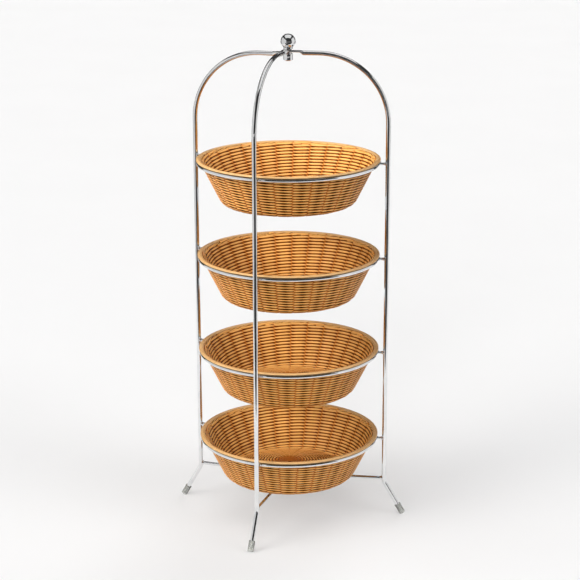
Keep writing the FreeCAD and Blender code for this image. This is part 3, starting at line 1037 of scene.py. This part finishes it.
half = FLOOR_SIZE / 2
floor_corners = [(-half, -half, 0), (half, -half, 0), (half, half, 0), (-half, half, 0)]
floor = staged("floor", floor_corners, np.array([[0, 1, 2, 3]]), painted("paper", PAPER, PAPER_GLOW))
floor.visible_diffuse = False
print("paper floor of", FLOOR_SIZE, "metres")

# %% [markdown]
# ## Lights
# Large soft lights stand round the rack: those at the left model the weave, and weak light from below fills
# the undersides. A softbox high on the left stands close, so its light fades towards the lower baskets; the
# paper is linked out of it to stay even. The light behind the camera is kept out of reflections, because
# the rods are dark on that side.

# %% Suns, softbox and room
ROOM_ABOVE, ROOM_BELOW = 0.02, 0.25
SUNS = {
    "window": ((-0.75, -0.48, 0.45), 40.0, 1.6, (1.0, 0.98, 0.95)),
    "high_window": ((-0.65, -0.05, 0.75), 50.0, 0.5, (1.0, 0.98, 0.95)),
    "skylight": ((0.0, -0.10, 1.0), 60.0, 0.9, (1.0, 1.0, 1.0)),
    "front_window": ((-0.15, -0.95, 0.32), 30.0, 1.45, (1.0, 1.0, 1.0)),
    "back_window": ((0.35, 0.85, 0.40), 40.0, 1.2, (1.0, 1.0, 1.0)),
    "far_wall": ((0.80, -0.45, 0.40), 40.0, 1.25, (1.0, 1.0, 1.0)),
}
SOFTBOX_PLACE = (-1.25, -0.4, 1.65)
SOFTBOX_AIM = 0.8
SOFTBOX_SIZE = 0.8
SOFTBOX_POWER = 17.0


def add_lamp(name, kind, strength, towards, place=(0.0, 0.0, 0.0)):
    """A lamp that shines from a direction, and from a place where the kind of lamp has one."""
    lamp = bpy.data.objects.new(name, bpy.data.lights.new(name, kind))
    lamp.data.energy = strength
    turn = towards.to_track_quat("Z", "Y").to_matrix().to_4x4()
    lamp.matrix_world = Matrix.Translation(place) @ turn
    bpy.context.scene.collection.objects.link(lamp)
    return lamp


def add_room(above, below):
    """Even light from the upper half of the room, and other light from the lower half."""
    world = bpy.data.worlds.new("room")
    world.use_nodes = True
    tree = world.node_tree
    place = tree.nodes.new("ShaderNodeTexCoord")
    parts = tree.nodes.new("ShaderNodeSeparateXYZ")
    tree.links.new(place.outputs["Generated"], parts.inputs["Vector"])
    height = add_node(tree, "ShaderNodeMapRange", From_Min=-0.1, From_Max=0.1)
    tree.links.new(parts.outputs["Z"], height.inputs["Value"])
    tone = ramp(tree, height.outputs["Result"], (0.0, [below] * 3), (1.0, [above] * 3))
    tree.links.new(tone, tree.nodes["Background"].inputs["Color"])
    bpy.context.scene.world = world


for name, (direction, degrees, strength, colour) in SUNS.items():
    sun = add_lamp(name, "SUN", strength, studio_place(*direction))
    sun.data.angle = math.radians(degrees)
    sun.data.color = colour
bpy.data.objects["front_window"].visible_glossy = False
box_place = studio_place(*SOFTBOX_PLACE)
box_direction = box_place - Vector((0, 0, SOFTBOX_AIM))
softbox = add_lamp("softbox", "AREA", SOFTBOX_POWER, box_direction, box_place)
softbox.data.shape = "DISK"
softbox.data.size = SOFTBOX_SIZE
softbox.visible_glossy = False
unlit = bpy.data.collections.new("out_of_the_softbox")
unlit.objects.link(floor)
unlit.collection_objects[0].light_linking.link_state = "EXCLUDE"
softbox.light_linking.receiver_collection = unlit
add_room(ROOM_ABOVE, ROOM_BELOW)
bpy.context.scene.view_settings.view_transform = "Standard"
print("room, softbox and", len(SUNS), "soft lights ready")

# %% [markdown]
# ## What the chrome mirrors
# Chrome shows only what is around it, so a small studio is built for the reflections alone: grey walls left
# and right and a pale ceiling, with dark gaps between them, a dark floor beyond the paper and a dark opening
# towards the camera. These give the rods their dark lines. The left wall comes further forward, which moves
# the dark line of each upright rod to the right of its middle.

# %% Reflected panels and far backdrop
WALL_OUT, WALL_FAR, WALL_HIGH = 1.8, 1.3, 2.3
WALL_NEAR = {"left": -3.4, "right": -1.0}
CEILING_NEAR = -1.0
CEILING_OUT, CEILING_HEIGHT = 1.2, 2.7
PAPER_NEAR, PAPER_FAR, PAPER_OUT = -1.05, 4.0, 1.9
REACH = 9.0
DARK_FLOOR_LIFT = 0.003
DOME_ROWS, DOME_COLUMNS = 12, 32
FAR_PAPER_GLOW = 0.94


def mirror_only(sheet):
    """Keeps a sheet out of all but the reflections."""
    sheet.visible_camera = False
    sheet.visible_diffuse = False
    sheet.visible_shadow = False
    sheet.visible_transmission = False


def mirrored_panel(name, corners, material):
    """A four-cornered panel, given from the camera's side, that only reflections see."""
    points = [tuple(studio_place(*c)) for c in corners]
    mirror_only(staged(name, points, np.array([[0, 1, 2, 3]]), material))


def level_panel(name, across, ahead, height, material):
    """A level mirrored panel between two places across and two places ahead."""
    (left, right), (near, far) = across, ahead
    spots = [(left, near), (right, near), (right, far), (left, far)]
    mirrored_panel(name, [(*spot, height) for spot in spots], material)


def half_sphere(radius):
    """A half sphere over the studio: a quarter circle spun about the axis."""
    rows, columns = DOME_ROWS, DOME_COLUMNS
    latitude = np.linspace(0, 0.499 * np.pi, rows)
    line = radius * np.stack([np.cos(latitude), np.sin(latitude)], -1)
    points = spun(line[:, None], full_turn(columns))
    return points.reshape(-1, 3), grid_quads(rows, columns)


# The walls and the ceiling glow by themselves, as light that only the reflections see; the dark cloth glows
# very faintly.
DARK = painted("dark_cloth", (0.02, 0.02, 0.022), 0.03)
LIT = painted("lit_panel", (0.8, 0.8, 0.8), 0.62)
WALL = painted("wall_panel", (0.35, 0.35, 0.355), 0.48)
mirror_only(staged("dark_room", *half_sphere(REACH * 1.5), DARK))
for side, name in ((-1, "left"), (1, "right")):
    x = side * WALL_OUT
    near = WALL_NEAR[name]
    wall = [(x, near, 0.0), (x, WALL_FAR, 0.0), (x, WALL_FAR, WALL_HIGH), (x, near, WALL_HIGH)]
    mirrored_panel(f"{name}_wall", wall, WALL)
    beside = (side * PAPER_OUT, side * REACH)
    level_panel(f"{name}_dark_floor", beside, (-REACH, REACH), DARK_FLOOR_LIFT, DARK)
level_panel("ceiling", (-CEILING_OUT, CEILING_OUT), (CEILING_NEAR, WALL_FAR), CEILING_HEIGHT, LIT)
for name, near, far in (("front", -REACH, PAPER_NEAR), ("back", PAPER_FAR, REACH)):
    level_panel(f"{name}_dark_floor", (-PAPER_OUT, PAPER_OUT), (near, far), DARK_FLOOR_LIFT, DARK)
far_paper = painted("far_paper", (0.0, 0.0, 0.0), FAR_PAPER_GLOW)
backdrop = staged("backdrop", *half_sphere(FLOOR_SIZE / 2), far_paper)
backdrop.visible_diffuse = False
backdrop.visible_glossy = False
backdrop.visible_shadow = False
print("reflected studio and far backdrop ready")
